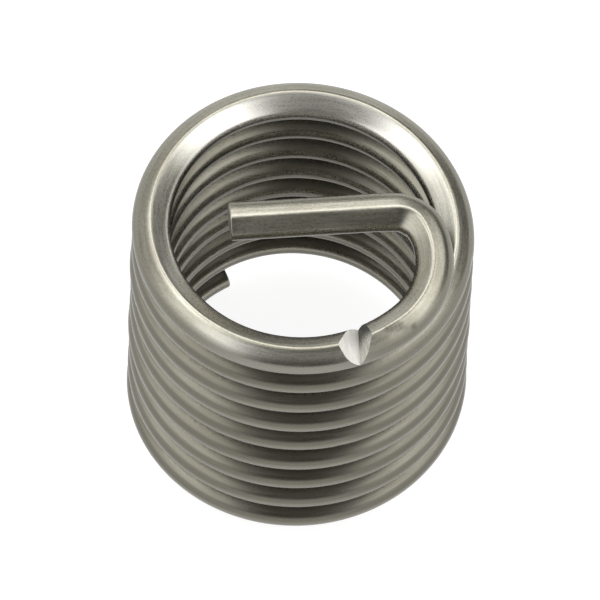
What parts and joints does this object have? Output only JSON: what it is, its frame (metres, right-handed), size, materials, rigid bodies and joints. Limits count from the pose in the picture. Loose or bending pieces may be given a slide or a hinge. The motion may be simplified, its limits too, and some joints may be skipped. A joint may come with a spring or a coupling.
{
  "type": "threaded insert",
  "caption": "Wire thread insert: a right-hand coil of diamond-section wire that lines a tapped hole, with a drive tang bent across its bore and a break-off notch.",
  "frame": {"origin": "on the coil's axis, level with the lowest point of the free end that it stands on", "axes": "+Z along the coil's axis from the free end to the tang; the tang lies nearly along X, its tip towards -X; the notch faces -Y"},
  "size_m": [0.0124, 0.0124, 0.0137],
  "materials": {
    "wire": "satin, as drawn"
  },
  "bodies": {
    "root": {"wire_insert": "wire"}
  },
  "joints": []
}
